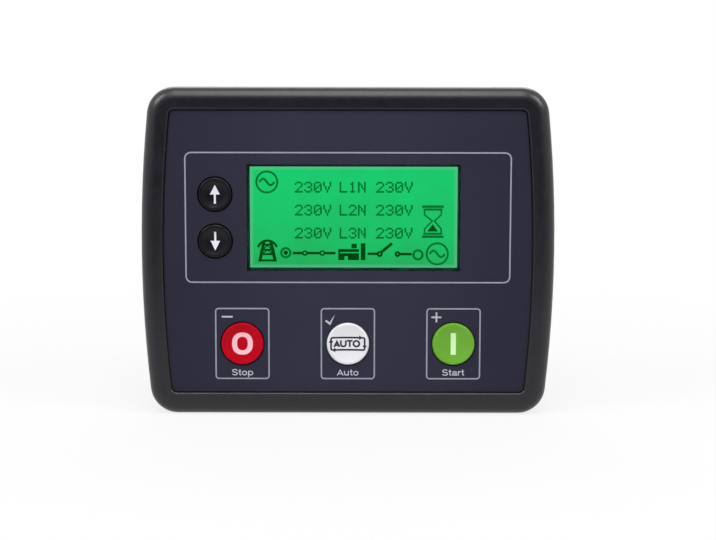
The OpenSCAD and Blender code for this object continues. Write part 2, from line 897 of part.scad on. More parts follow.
// Three slots and a flat pad on each side for a fixing clip
module clip_slots() {
    slot_z = (case_back_z + main_front_z) / 2 + slot_l / 2;
    pad_w = slot_pitch + slot_w + 2 * pad_margin;
    pad_l = slot_l + slot_stagger + 2 * pad_end;
    for (side = [0, 1])
        mirror([side, 0, 0]) translate([case_w / 2, 0, 0]) {
            translate([-pad_depth, -pad_w / 2, slot_z - pad_l / 2]) cube([pad_depth + eps, pad_w, pad_l]);
            for (y = [-slot_pitch / 2, slot_pitch / 2])
                translate([-case_wall - eps, y - slot_w / 2, slot_z + (slot_stagger - slot_l) / 2])
                    cube([case_wall + 2 * eps, slot_w, slot_l]);
            translate([-case_wall - eps, -slot_w / 2, slot_z - (slot_stagger + slot_l) / 2])
                cube([case_wall + 2 * eps, slot_w, slot_l]);
        }
}

module vent_slots() {
    vent_z = (case_back_z + board_back_z) / 2 - vent_l / 2;
    for (i = [0 : vents - 1])
        translate([(i - (vents - 1) / 2) * vent_pitch - vent_w / 2, -far / 2, vent_z])
            cube([vent_w, far, vent_l]);
}

module rear_case() {
    color([0.1, 0.1, 0.11]) upright() difference() {
        union() {
            difference() {
                case_block(case_w, case_h, case_r, case_edge_r, case_back_z);
                slab(case_floor_z, plate_back_z + eps) rounded(inner_w, inner_h, inner_r);
                slab(case_back_z - eps, case_floor_z + eps) case_windows();
                clip_slots();
                vent_slots();
            }
            intersection() {
                for (p = columns)
                    translate([p[0], p[1], case_back_z])
                        cylinder(d = column_d, h = plate_back_z - case_back_z);
                case_block(case_w, case_h, case_r, case_edge_r, case_back_z);
            }
            for (p = rear_posts)
                translate([p[0], p[1], case_floor_z - eps])
                    cylinder(d = post_d, h = main_back_z - case_floor_z + eps);
        }
        for (p = columns)
            translate([p[0], p[1], 0]) {
                slab(case_back_z - eps, case_back_z + case_head_sink)
                    circle(d = case_head_d + 2 * case_head_gap);
                slab(case_back_z, plate_back_z + eps) circle(d = case_screw_hole_d);
                slab(spigot_z - spigot_gap, plate_back_z + eps) circle(d = spigot_d + 2 * spigot_gap);
            }
        for (p = rear_posts)
            translate([p[0], p[1], main_back_z - board_screw_grip - eps])
                cylinder(d = board_pilot_d, h = board_screw_grip + 2 * eps);
    }
}

module case_screws() {
    seat_z = case_back_z + case_head_sink;
    color([0.7, 0.7, 0.72]) upright() for (p = columns)
        translate([p[0], p[1], seat_z])
            screw(case_screw_d, plate_back_z - case_screw_end - seat_z, case_head_d, case_head_h);
}

front_bezel();
facia_label();
display_window();
lcd_frame();
lcd_glass();
backlight_panel();
backlight_leds();
contact_strips();
display_board();
display_board_screws();
up_button();
down_button();
stop_button();
auto_button();
start_button();
up_plunger();
down_plunger();
stop_plunger();
auto_plunger();
start_plunger();
switch_bodies();
switch_leads();
link_header();
link_pins();
link_socket();
main_board();
main_board_screws();
rear_case();
case_screws();
supply_header_body();
supply_header_pins();
current_header_body();
current_header_pins();
generator_header_body();
generator_header_pins();
mains_header_body();
mains_header_pins();
data_socket_shell();
data_socket_insert();
processor_chip();
supply_capacitors();
supply_coil();
output_drivers();
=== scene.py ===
"""Looks of a panel-mounted generating-set controller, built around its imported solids."""
import math

import bmesh
import bpy
from mathutils import Matrix, Vector, geometry


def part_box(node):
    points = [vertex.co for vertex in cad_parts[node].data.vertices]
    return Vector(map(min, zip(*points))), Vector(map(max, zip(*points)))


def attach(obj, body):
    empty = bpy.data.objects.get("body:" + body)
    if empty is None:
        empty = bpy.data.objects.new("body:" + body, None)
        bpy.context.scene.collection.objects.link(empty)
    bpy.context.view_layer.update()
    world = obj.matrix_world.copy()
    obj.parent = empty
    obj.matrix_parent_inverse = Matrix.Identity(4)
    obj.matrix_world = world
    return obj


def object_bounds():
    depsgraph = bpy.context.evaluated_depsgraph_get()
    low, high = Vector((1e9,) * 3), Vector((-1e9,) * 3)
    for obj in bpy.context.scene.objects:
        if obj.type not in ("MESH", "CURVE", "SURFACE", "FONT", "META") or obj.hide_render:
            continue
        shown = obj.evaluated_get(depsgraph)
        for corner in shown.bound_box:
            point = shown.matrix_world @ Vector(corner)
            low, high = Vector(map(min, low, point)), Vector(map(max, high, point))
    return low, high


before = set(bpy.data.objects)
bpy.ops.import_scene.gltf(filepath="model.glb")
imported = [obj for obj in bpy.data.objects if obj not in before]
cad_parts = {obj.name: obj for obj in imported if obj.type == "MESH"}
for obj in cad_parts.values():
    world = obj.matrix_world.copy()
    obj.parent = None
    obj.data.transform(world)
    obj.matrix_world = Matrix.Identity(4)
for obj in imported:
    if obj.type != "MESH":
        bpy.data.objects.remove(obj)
cad_low, cad_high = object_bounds()

MM = 0.001

# Camera, from the photograph: a picture of 716 by 540 pixels
LENS = 69.6
SENSOR = 36.0
CAMERA_DISTANCE = 470 * MM
LOOK_DOWN = math.radians(5.44)
CAMERA_TILT = math.radians(6.2)
CAMERA_ROLL = math.radians(0.1)
CAMERA_ASIDE = 3.4 * MM
SILHOUETTE_LEVEL = 6.2 * MM

# Light: each softbox has its place, its size in metres and the brightness of its face
WORLD_DIFFUSE = 0.19
SOFTBOXES = {
    "top_softbox": ((0.0, -0.46, 0.71), (0.42, 0.72), 4.2),
    "left_corner_softbox": ((-0.62, -0.4, 0.54), (0.36, 0.36), 7.6),
    "right_corner_softbox": ((0.62, -0.4, 0.54), (0.36, 0.36), 7.6),
    "back_softbox": ((0.0, 0.66, 0.6), (0.8, 0.45), 2.6),
}
# In mirrors the room is dim within these angles of the way to the front, and so is the floor out there
FRONT = (0, -1, 0)
FRONT_DIM = 0.06
ROOM_ANGLES = (math.radians(5), math.radians(50))
FLOOR_FRONT = (-0.52, -0.22)
FLOOR_PAPER = 0.8
FLOOR_HALF = 3.0
FLOOR_DROP = 0.02 * MM
# Share of the floor's own light and shade near the object, and the distances over which it ends
SHADOW_SHARE = 0.2
SHADOW_NEAR = 0.06
SHADOW_FAR = 0.42
WHITE = (1, 1, 1, 1)

# Print on the facia: real sizes on the film
LINE_W = 0.47 * MM
SIGN_LINE_W = 0.56 * MM
DISPLAY_FRAME = (109.3 * MM, 43.7 * MM)
DISPLAY_FRAME_R = 2.0 * MM
KEY_FRAME = (18.0 * MM, 24.0 * MM)
KEY_FRAME_R = 1.0 * MM
PRINT_PROUD = 0.015 * MM
PRINT_SINK = 0.03 * MM
WORD_DROP = 10.95 * MM
WORD_H = 2.2 * MM
WORD_LINE = 0.15
WORD_WIDTHS = {"stop": ("Stop", 7.5 * MM), "auto": ("Auto", 7.5 * MM), "start": ("Start", 7.7 * MM)}
MINUS_PLACE = (-5.1 * MM, 9.2 * MM)
MINUS_W = 3.7 * MM
PLUS_PLACE = (-5.8 * MM, 9.1 * MM)
PLUS_W = 3.4 * MM
TICK_MM = [(-7.8, 7.75), (-7.2, 8.15), (-6.2, 7.3), (-4.4, 10.0), (-5.95, 6.3)]

# Finger dishes of the buttons
FLANGE_W = 1.5 * MM
DISH_RIM = 0.9 * MM
DISH_DEPTH = 0.8 * MM
SIGN_STEP = 0.5 * MM

# Signs on the buttons
ARROW_H = 6.3 * MM
ARROW_HEAD = (3.3 * MM, 3.25 * MM)
ARROW_SHAFT_W = 0.68 * MM
RING_OUTER = (3.5 * MM, 3.78 * MM)
RING_INNER = (1.83 * MM, 2.32 * MM)
RING_SQUARENESS = 2.35
BAR_SIZE = (1.78 * MM, 7.45 * MM)
LOOP_SIZE = (11.4 * MM, 4.2 * MM)
LOOP_R = 0.5 * MM
LOOP_LINE_W = 0.6 * MM
LOOP_STEPS = 4
LOOP_ARROW = (1.2 * MM, 1.6 * MM)
LOOP_ARROW_PLACES = [
    (4.43 * MM, 2.1 * MM), (5.7 * MM, -1.14 * MM),
    (-4.83 * MM, -2.1 * MM), (-5.7 * MM, 1.08 * MM),
]
AUTO_SIZE = (8.9 * MM, 2.25 * MM)
AUTO_ASIDE = -0.3 * MM
AUTO_LINE = 0.27

# Dot-matrix display: lit area inside its frame, and 128 by 64 dots
FRAME_SIDE = 2.5 * MM
FRAME_END = 4.0 * MM
DOTS_WIDE = 128
DOTS_HIGH = 64
DOT_PITCH = 0.521 * MM
DOT_SHARE = 1.12
EDGE_GLOW = 1.5 * MM
EDGE_SHARE = 0.8
LCD_FADE = 0.42
# Text of the display, in dots: each row's phase and top, and each column's left edge and letter pitch
TEXT_ROWS = (("L1N", 8.95), ("L2N", 23.85), ("L3N", 38.8))
TEXT_COLUMNS = ((25.75, 6.17), (54.85, 5.95), (78.45, 6.2))
VOLTAGE = "230V"
DOTS_PER_LETTER = 6

# Signs of the display, in dots: alternating current, and the two ends of the wire
WAVE_SIGNS = ((7.7, 9.2, 6.8), (118.5, 55.8, 6.9))
WAVE_RING_LINE = 1.3
WAVE_LINE = 1.4
WAVE_REACH = 0.72
WAVE_SWING = 0.305
WAVE_STEPS = 12
WIRE_START = (19.8, 55.2)
WIRE_START_R = 1.4
WIRE_ENDS = (WIRE_START, (105.95, 56.5))
WIRE_END_R = 2.95
WIRE_END_LINE = 1.5
# Line widths of the sand glass, the mast and the switch
GLASS_LINE = 1.0
ARM_LINE, LEG_LINE, RUNG_LINE, BRACE_LINE = 1.5, 2.1, 1.3, 0.7
NODE_LINE, CONTACT_LINE, BLADE_LINE = 1.0, 1.4, 1.9

# Colours, as a screen shows them from 0 to 255
INKS = {
    "frame_ink": (150, 151, 167), "sign_ink": (186, 186, 197), "arrow_ink": (222, 222, 232),
    "stop_ink": (255, 190, 200), "start_ink": (205, 245, 185), "auto_ink": (38, 37, 49),
}
LCD_INKS = {
    "lcd_fine_ink_look": ((6, 108, 42), (9, 119, 49)),
    "lcd_bold_ink_look": ((1, 64, 12), (3, 78, 19)),
}
LCD_LOW, LCD_HIGH, LCD_EDGE = (38, 165, 88), (26, 204, 110), (98, 186, 142)
LCD_UNLIT, DOT_UNLIT = (6, 16, 10), (1, 8, 3)
# The film's two colours are painted light: lit along its middle, in painted shade at its sides
FILM_SHADED_SIDE, FILM_LIT_MIDDLE = (38, 37, 52), (45, 44, 61)
WINDOW_TINT = (250, 253, 252)
MASK_DARK, MASK_LIGHT, TRACK_COLOUR = (10, 62, 32), (16, 84, 44), (34, 112, 62)

# Noise: its detail, and how far around its middle its values reach in soft, clear and hard patches
PLAIN_DETAIL, LOW_DETAIL, HIGH_DETAIL = 3.0, 2.0, 4.0
SOFT_SPAN, CLEAR_SPAN, HARD_SPAN = 0.2, 0.15, 0.1

# Finishes: the sizes of their patches of shade and gloss, their grain, roughness and gloss
MOULDED_SHADES, MOULDED_GLOSS = 9 * MM, 1.6 * MM
METAL_SHADES, METAL_MARKS, METAL_DEPTH = 2.2 * MM, 0.3 * MM, 0.004 * MM
# Distances across the film over which its painted light fades from the middle to painted shade at the
# sides
FILM_LIGHT_FADE = (8 * MM, 64 * MM)
FILM_CLOUDS, FILM_CLOUD_ENDS = 26 * MM, (-0.12, 0.12)
FILM_GLOSS, FILM_ROUGH, FILM_SPECULAR = 0.5 * MM, (0.46, 0.58), 0.12
FILM_GRAIN, FILM_DEPTH = 0.16 * MM, 0.006 * MM
INK_SHADES, INK_WORN = 0.35 * MM, 0.93
INK_GLOSS, INK_ROUGH, INK_SPECULAR = 0.2 * MM, (0.5, 0.62), 0.2
LCD_PATCHES, LCD_PATCH_ENDS, LCD_ROUGH = 11 * MM, (-0.1, 0.1), 0.3
LCD_INK_PATCHES, LCD_INK_ROUGH = 3 * MM, 0.5
WINDOW_PATCHES, WINDOW_ROUGH, WINDOW_IOR = 4 * MM, (0.0, 0.015), 1.08
MASK_SHADES, MASK_GLOSS, MASK_ROUGH = 6 * MM, 1 * MM, (0.28, 0.42)
TRACK_PITCH, TRACK_SHARE, TRACK_DEPTH = 5 * MM, 0.03, 0.03 * MM
BEVEL_SAMPLES = 6

# Gaps below which points of a printed layer are one: in millimetres when joining, in metres when cutting
JOIN_GAP_MM, CUT_GAP = 1e-4, 1e-7


def centre(node):
    """Middle of a CAD node's box."""
    low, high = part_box(node)
    return (low + high) / 2


def key_middle(key):
    """A place on the middle line of a key."""
    return centre(key + "_plunger")


film_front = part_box("facia_label")[0].y
glass_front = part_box("lcd_glass")[0].y
view_centre = centre("lcd_frame")
frame_low, frame_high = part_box("lcd_frame")
view_half = Vector((
    (frame_high.x - frame_low.x) / 2 - FRAME_SIDE, 0,
    (frame_high.z - frame_low.z) / 2 - FRAME_END,
))


def srgb(red, green, blue):
    """A screen colour from 0 to 255 as linear light, with full alpha."""
    def linear(value):
        share = value / 255
        if share <= 0.04045:
            return share / 12.92
        return ((share + 0.055) / 1.055) ** 2.4
    return (linear(red), linear(green), linear(blue), 1.0)


# Materials

class Nodes:
    """Short calls for making and joining the nodes of a tree. Lengths are in metres."""

    def __init__(self, tree):
        self.tree = tree
        self.coordinates = self.new("TexCoord").outputs

    def feed(self, socket, value):
        """Joins an output to a socket, or sets the socket to a plain value."""
        if isinstance(value, bpy.types.NodeSocket):
            self.tree.links.new(value, socket)
        else:
            socket.default_value = value

    def new(self, kind, inputs=None, **settings):
        """Makes a node with these settings and feeds its inputs."""
        node = self.tree.nodes.new("ShaderNode" + kind)
        for name, value in settings.items():
            setattr(node, name, value)
        for name, value in (inputs or {}).items():
            self.feed(node.inputs[name], value)
        return node

    def noise(self, size, detail=PLAIN_DETAIL):
        """Random values with features of about this size."""
        inputs = {"Vector": self.coordinates["Object"], "Scale": 1 / size, "Detail": detail}
        return self.new("TexNoise", inputs).outputs["Fac"]

    def math(self, operation, first, second=0.0):
        return self.new("Math", {0: first, 1: second}, operation=operation).outputs["Value"]

    def axis(self, name):
        """One coordinate of the place on the object."""
        return self.new("SeparateXYZ", {"Vector": self.coordinates["Object"]}).outputs[name]

    def spread(self, value, from_ends, to_ends, way="SMOOTHSTEP"):
        """Maps a range of values onto another one, within its ends."""
        inputs = {"Value": value}
        inputs["From Min"], inputs["From Max"] = from_ends
        inputs["To Min"], inputs["To Max"] = to_ends
        return self.new("MapRange", inputs, interpolation_type=way).outputs["Result"]

    def uneven(self, size, ends=(0, 1), detail=PLAIN_DETAIL, span=SOFT_SPAN):
        """Values that wander between two ends, in patches of about this size."""
        return self.spread(self.noise(size, detail), (0.5 - span, 0.5 + span), ends)

    def blend(self, share, first, second):
        """A colour between two colours."""
        inputs = {"Factor": share, "A": first, "B": second}
        return self.new("Mix", inputs, data_type="RGBA").outputs["Result"]

    def show(self, kind, share, first, second):
        """Ends the tree of a material or a world in a mix of two shaders."""
        mix = self.new("MixShader", {0: share, 1: first.outputs[0], 2: second.outputs[0]})
        self.new("Output" + kind, {"Surface": mix.outputs[0]})


class Finish(Nodes):
    """A material around one shader."""

    def __init__(self, name):
        self.material = bpy.data.materials.new(name)
        self.material.use_nodes = True
        super().__init__(self.material.node_tree)
        self.shader = self.tree.nodes["Principled BSDF"]

    def set(self, name, value):
        self.feed(self.shader.inputs[name], value)

    def relief(self, height, depth, edge=0.0):
        """Bumps of this depth, on edges that look rounded to this radius."""
        inputs = {"Distance": depth, "Height": height}
        if edge:
            round_edge = self.new("Bevel", {"Radius": edge}, samples=BEVEL_SAMPLES)
            inputs["Normal"] = round_edge.outputs["Normal"]
        self.set("Normal", self.new("Bump", inputs).outputs["Normal"])


def moulded(name, dark, light, grain_mm, depth_mm, rough, gloss, edge_mm=0.0):
    """Moulded plastic: two close shades, a fine grain and slightly uneven gloss."""
    g = Finish(name)
    g.set("Base Color", g.blend(g.uneven(MOULDED_SHADES, span=CLEAR_SPAN), srgb(*dark), srgb(*light)))
    g.set("Roughness", g.uneven(MOULDED_GLOSS, rough))
    g.set("Specular IOR Level", gloss)
    g.relief(g.noise(grain_mm * MM), depth_mm * MM, edge_mm * MM)
    return g.material


def metal(name, dull, bright, rough):
    """Plated or bare metal with faint marks and patches of dull and bright."""
    g = Finish(name)
    g.set("Base Color", g.blend(g.uneven(METAL_SHADES), srgb(*dull), srgb(*bright)))
    g.set("Metallic", 1.0)
    g.set("Roughness", g.uneven(METAL_MARKS, rough, HIGH_DETAIL))
    g.relief(g.noise(METAL_MARKS, HIGH_DETAIL), METAL_DEPTH)
    return g.material


def facia_film(name):
    """Satin polyester film: navy with a velvet grain, and painted light: lighter along its middle, in
    painted shade towards its sides.
    """
    g = Finish(name)
    # Painted light: lighter along the middle of the film, painted shade towards its sides
    shade = g.spread(g.math("ABSOLUTE", g.axis("X")), FILM_LIGHT_FADE, (1, 0))
    cloud = g.uneven(FILM_CLOUDS, FILM_CLOUD_ENDS, LOW_DETAIL)
    g.set("Base Color", g.blend(g.math("ADD", shade, cloud), srgb(*FILM_SHADED_SIDE), srgb(*FILM_LIT_MIDDLE)))
    g.set("Roughness", g.uneven(FILM_GLOSS, FILM_ROUGH))
    g.set("Specular IOR Level", FILM_SPECULAR)
    g.relief(g.noise(FILM_GRAIN, LOW_DETAIL), FILM_DEPTH)
    return g.material


def print_ink(name):
    """Screen-printed ink: a thin, slightly uneven layer."""
    g = Finish(name)
    colour = srgb(*INKS[name])
    worn = tuple(INK_WORN * value for value in colour[:3]) + (1.0,)
    g.set("Base Color", g.blend(g.uneven(INK_SHADES, span=CLEAR_SPAN), worn, colour))
    g.set("Roughness", g.uneven(INK_GLOSS, INK_ROUGH))
    g.set("Specular IOR Level", INK_SPECULAR)
    return g.material


def lcd_cell(name):
    """Backlit glass: green light that fades downwards, with a paler band inside the edge."""
    g = Finish(name)
    height = g.math("SUBTRACT", g.axis("Z"), view_centre.z)
    aside = g.math("ABSOLUTE", g.math("SUBTRACT", g.axis("X"), view_centre.x))
    rise = g.math("DIVIDE", g.math("ADD", height, view_half.z), 2 * view_half.z)
    fade = g.math("POWER", g.math("MAXIMUM", rise, 0), LCD_FADE)
    patch = g.uneven(LCD_PATCHES, LCD_PATCH_ENDS, LOW_DETAIL)
    light = g.blend(g.math("ADD", fade, patch), srgb(*LCD_LOW), srgb(*LCD_HIGH))
    edge_x = g.spread(aside, (view_half.x - EDGE_GLOW, view_half.x), (0, EDGE_SHARE))
    edge_z = g.spread(g.math("ABSOLUTE", height), (view_half.z - EDGE_GLOW, view_half.z), (0, EDGE_SHARE))
    g.set("Emission Color", g.blend(g.math("MAXIMUM", edge_x, edge_z), light, srgb(*LCD_EDGE)))
    g.set("Emission Strength", 1.0)
    g.set("Base Color", srgb(*LCD_UNLIT))
    g.set("Roughness", LCD_ROUGH)
    g.set("Specular IOR Level", 0.0)
    return g.material


def lcd_ink(name):
    """A dark dot of the display, through which some of the backlight still comes."""
    g = Finish(name)
    deep, thin = LCD_INKS[name]
    g.set("Base Color", srgb(*DOT_UNLIT))
    g.set("Emission Color", g.blend(g.uneven(LCD_INK_PATCHES), srgb(*deep), srgb(*thin)))
    g.set("Emission Strength", 1.0)
    g.set("Roughness", LCD_INK_ROUGH)
    g.set("Specular IOR Level", 0.0)
    return g.material


def clear_window(name):
    """Clear sheet with an anti-glare coat, so that it mirrors little."""
    g = Finish(name)
    g.set("Base Color", srgb(*WINDOW_TINT))
    g.set("Transmission Weight", 1.0)
    g.set("IOR", WINDOW_IOR)
    g.set("Roughness", g.uneven(WINDOW_PATCHES, WINDOW_ROUGH))
    return g.material


def board_laminate(name):
    """Green solder mask over tracks."""
    g = Finish(name)
    inputs = {"Vector": g.coordinates["Object"], "Scale": 1 / TRACK_PITCH, "Mortar Size": TRACK_SHARE}
    tracks = g.new("TexBrick", inputs).outputs["Fac"]
    mask = g.blend(g.uneven(MASK_SHADES, span=HARD_SPAN), srgb(*MASK_DARK), srgb(*MASK_LIGHT))
    g.set("Base Color", g.blend(tracks, mask, srgb(*TRACK_COLOUR)))
    g.set("Roughness", g.uneven(MASK_GLOSS, MASK_ROUGH))
    g.relief(tracks, TRACK_DEPTH)
    return g.material


# Maker and values of each finish. Plastic: two shades, grain size and depth in millimetres, range of
# roughness, gloss and, where edges look rounded, their radius. Metal: two shades, range of roughness.
FINISHES = {
    "bezel_plastic": (moulded, (9, 8, 19), (12, 11, 23), 0.22, 0.002, (0.29, 0.35), 0.5, 0.5),
    "case_plastic": (moulded, (22, 22, 25), (29, 29, 33), 0.3, 0.02, (0.4, 0.52), 0.3, 0.25),
    "facia_film": (facia_film,),
    "clear_window": (clear_window,),
    "lcd_cell": (lcd_cell,),
    "board_laminate": (board_laminate,),
    # The display's frame is black: its dark green is a painted reflection of the backlight's glow
    "frame_metal": (moulded, (12, 66, 45), (16, 74, 52), 0.3, 0.004, (0.5, 0.62), 0.1),
    "light_guide": (moulded, (228, 232, 222), (240, 243, 236), 0.4, 0.005, (0.15, 0.25), 0.5),
    "led_plastic": (moulded, (236, 226, 170), (246, 238, 190), 0.3, 0.004, (0.2, 0.3), 0.5),
    "strip_rubber": (moulded, (176, 84, 102), (194, 98, 116), 0.25, 0.02, (0.6, 0.75), 0.3),
    "cap_black": (moulded, (4, 3, 11), (6, 5, 14), 0.2, 0.002, (0.28, 0.34), 0.26),
    "cap_red": (moulded, (174, 1, 23), (180, 2, 28), 0.2, 0.003, (0.34, 0.44), 0.08),
    "cap_white": (moulded, (222, 221, 227), (227, 226, 232), 0.2, 0.003, (0.36, 0.46), 0.2),
    "cap_green": (moulded, (103, 163, 51), (107, 167, 56), 0.2, 0.003, (0.34, 0.44), 0.15),
    "switch_plastic": (moulded, (34, 34, 36), (44, 44, 46), 0.25, 0.01, (0.4, 0.55), 0.35),
    "socket_black": (moulded, (20, 20, 21), (28, 28, 29), 0.25, 0.01, (0.4, 0.55), 0.35),
    "header_plastic": (moulded, (20, 106, 52), (27, 120, 62), 0.3, 0.012, (0.38, 0.5), 0.4, 0.12),
    "socket_white": (moulded, (222, 222, 216), (232, 232, 227), 0.25, 0.008, (0.35, 0.48), 0.4),
    "chip_epoxy": (moulded, (22, 22, 24), (32, 32, 34), 0.2, 0.012, (0.5, 0.65), 0.35),
    "coil_ferrite": (moulded, (44, 43, 44), (58, 57, 58), 0.25, 0.02, (0.5, 0.7), 0.3),
    "screw_steel": (metal, (150, 152, 156), (196, 198, 202), (0.24, 0.4)),
    "tinned_metal": (metal, (160, 160, 158), (206, 205, 200), (0.28, 0.45)),
    "gold_pins": (metal, (190, 148, 62), (222, 184, 92), (0.2, 0.34)),
    "socket_metal": (metal, (152, 154, 158), (198, 200, 204), (0.22, 0.36)),
    "can_aluminium": (metal, (172, 174, 178), (206, 208, 212), (0.26, 0.4)),
}


def dress_solids():
    """Gives each CAD node the finish that its material slot names."""
    made = {}
    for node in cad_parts.values():
        for slot in node.material_slots:
            name = slot.material.name
            if name in FINISHES:
                if name not in made:
                    make, *values = FINISHES[name]
                    made[name] = make(name + "_look", *values)
                slot.material = made[name]


# Flat shapes that become thin printed layers

def add_face(sheet, points):
    """Adds one flat face to a sheet, from points across and up."""
    return sheet.faces.new([sheet.verts.new((x, 0, z)) for x, z in points])


def add_ring(sheet, outer, inner):
    """Adds the band between two closed rows of points that run side by side."""
    outside = [sheet.verts.new((x, 0, z)) for x, z in outer]
    inside = [sheet.verts.new((x, 0, z)) for x, z in inner]
    for i in range(len(outside)):
        after = (i + 1) % len(outside)
        sheet.faces.new([outside[i], outside[after], inside[after], inside[i]])


def rounded_outline(width, height, radius, middle, steps):
    """Points of a rectangle with round corners."""
    points = []
    for quarter, (side_x, side_z) in enumerate(((1, 1), (-1, 1), (-1, -1), (1, -1))):
        x = middle[0] + side_x * (width / 2 - radius)
        z = middle[1] + side_z * (height / 2 - radius)
        for i in range(steps + 1):
            angle = math.radians(90 * (quarter + i / steps))
            points.append((x + radius * math.cos(angle), z + radius * math.sin(angle)))
    return points


def add_frame(sheet, size, radius, middle, line=LINE_W, steps=8):
    """Adds a line frame with round corners, centred on its own line."""
    outer = rounded_outline(size[0] + line, size[1] + line, radius + line / 2, middle, steps)
    inner = rounded_outline(size[0] - line, size[1] - line, radius - line / 2, middle, steps)
    add_ring(sheet, outer, inner)


def add_bar(sheet, middle, width, height):
    """Adds an upright rectangle."""
    x, z = middle
    add_face(sheet, [
        (x - width / 2, z - height / 2), (x + width / 2, z - height / 2),
        (x + width / 2, z + height / 2), (x - width / 2, z + height / 2),
    ])


def add_stroke(sheet, width, points):
    """Adds a line of even width through points, with joined corners."""
    points = [Vector(point) for point in points]
    sides = [Vector((a.y - b.y, b.x - a.x)).normalized() for a, b in zip(points, points[1:])]
    left, right = [], []
    for i, point in enumerate(points):
        before, after = sides[max(i - 1, 0)], sides[min(i, len(sides) - 1)]
        across = (before + after).normalized()
        reach = across * (width / 2 / across.dot(before))
        left.append(point + reach)
        right.append(point - reach)
    for i in range(len(sides)):
        add_face(sheet, [left[i], left[i + 1], right[i + 1], right[i]])


def add_cross(sheet, middle, width, line):
    """Adds a plus sign."""
    x, z = middle
    far, near = width / 2, line / 2
    points = []
    for turn in range(4):
        for a, b in ((far, near), (near, near), (near, far)):
            for _ in range(turn):
                a, b = -b, a
            points.append((x + a, z + b))
    add_face(sheet, points)


def arc(middle, radii, start, end, steps=12):
    """Points along a part of an oval, between two angles in degrees."""
    angles = [math.radians(start + (end - start) * i / steps) for i in range(steps + 1)]
    return [(middle[0] + radii[0] * math.cos(a), middle[1] + radii[1] * math.sin(a)) for a in angles]


# Width and lines of each letter: the height of a capital is 1
LETTER_LINES = {
    "A": (0.86, [[(0.05, 0), (0.43, 0.83), (0.81, 0)], [(0.18, 0.28), (0.68, 0.28)]]),
    "O": (1.04, [arc((0.52, 0.5), (0.42, 0.43), 0, 360, 32)]),
    "S": (0.84, [
        arc((0.42, 0.72), (0.29, 0.21), 15, 270) + arc((0.42, 0.29), (0.31, 0.22), 90, -165)[1:],
    ]),
    "T": (0.84, [[(0.02, 0.93), (0.82, 0.93)], [(0.42, 0.93), (0.42, 0)]]),
    "U": (0.96, [[(0.13, 1)] + arc((0.48, 0.41), (0.35, 0.34), 180, 360) + [(0.83, 1)]]),
    "a": (0.74, [
        arc((0.36, 0.47), (0.24, 0.19), 160, 0, 8) + [(0.6, 0.14), (0.66, 0)],
        [(0.6, 0.42)] + arc((0.34, 0.22), (0.23, 0.155), 90, 270, 8) + [(0.5, 0.11), (0.6, 0.23)],
    ]),
    "o": (0.76, [arc((0.38, 0.36), (0.27, 0.295), 0, 360, 24)]),
    "p": (0.78, [[(0.13, 0.73), (0.13, -0.28)], arc((0.4, 0.36), (0.26, 0.295), 0, 360, 24)]),
    "r": (0.47, [[(0.13, 0.73), (0.13, 0)], arc((0.36, 0.42), (0.23, 0.235), 180, 70, 8)]),
    "t": (0.42, [
        [(0.2, 0.95)] + arc((0.37, 0.24), (0.17, 0.17), 180, 275, 8),
        [(0.03, 0.66), (0.38, 0.66)],
    ]),
    "u": (0.76, [
        [(0.12, 0.73)] + arc((0.36, 0.31), (0.24, 0.24), 180, 360) + [(0.6, 0.73)],
        [(0.6, 0.73), (0.6, 0)],
    ]),
}


def add_words(sheet, text, width, height, middle, baseline, line):
    """Adds a word drawn in lines, fitted to a width and to the height of a capital."""
    across = width / sum(LETTER_LINES[letter][0] for letter in text)
    start = middle - width / 2
    for letter in text:
        letter_w, lines = LETTER_LINES[letter]
        for points in lines:
            placed = [(start + x * across, baseline + z * height) for x, z in points]
            add_stroke(sheet, line * height, placed)
        start += letter_w * across


def united(sheet):
    """Joins the overlapping shapes of a flat sheet into one layer of triangles."""
    sheet.verts.index_update()
    places = [(v.co.x / MM, v.co.z / MM) for v in sheet.verts]
    loops = [[v.index for v in face.verts] for face in sheet.faces]
    sheet.normal_update()
    for loop, face in zip(loops, sheet.faces):
        if face.normal.y > 0:
            loop.reverse()
    corners, _, triangles, _, _, sources = geometry.delaunay_2d_cdt(places, [], loops, 1, JOIN_GAP_MM)
    whole = bmesh.new()
    verts = [whole.verts.new((x * MM, 0, z * MM)) for x, z in corners]
    for triangle, source in zip(triangles, sources):
        if source:
            whole.faces.new([verts[i] for i in triangle])
    sheet.free()
    loose = [v for v in whole.verts if not v.link_faces]
    bmesh.ops.delete(whole, geom=loose, context="VERTS")
    return whole


def refine(sheet, step):
    """Cuts a flat sheet along a square grid, so that it can follow a hollow."""
    for normal in (Vector((1, 0, 0)), Vector((0, 0, 1))):
        places = [v.co.dot(normal) for v in sheet.verts]
        low, high = min(places), max(places)
        for i in range(1, math.ceil((high - low) / step)):
            bmesh.ops.bisect_plane(
                sheet, geom=sheet.verts[:] + sheet.edges[:] + sheet.faces[:], dist=CUT_GAP,
                plane_co=normal * (low + i * step), plane_no=normal)
    bmesh.ops.triangulate(sheet, faces=sheet.faces[:])


def thickened(sheet, surface):
    """Makes a flat sheet into a thin closed layer on a surface, which gives the depth at a place."""
    layer = bmesh.new()
    front, back = {}, {}
    for v in sheet.verts:
        depth = surface(v.co.x, v.co.z)
        front[v] = layer.verts.new((v.co.x, depth - PRINT_PROUD, v.co.z))
        back[v] = layer.verts.new((v.co.x, depth + PRINT_SINK, v.co.z))
    for face in sheet.faces:
        layer.faces.new([front[v] for v in face.verts])
        layer.faces.new([back[v] for v in reversed(face.verts)])
    for edge in sheet.edges:
        if edge.is_boundary:
            a, b = edge.verts
            layer.faces.new([front[a], front[b], back[b], back[a]])
    bmesh.ops.recalc_face_normals(layer, faces=layer.faces[:])
    sheet.free()
    return layer


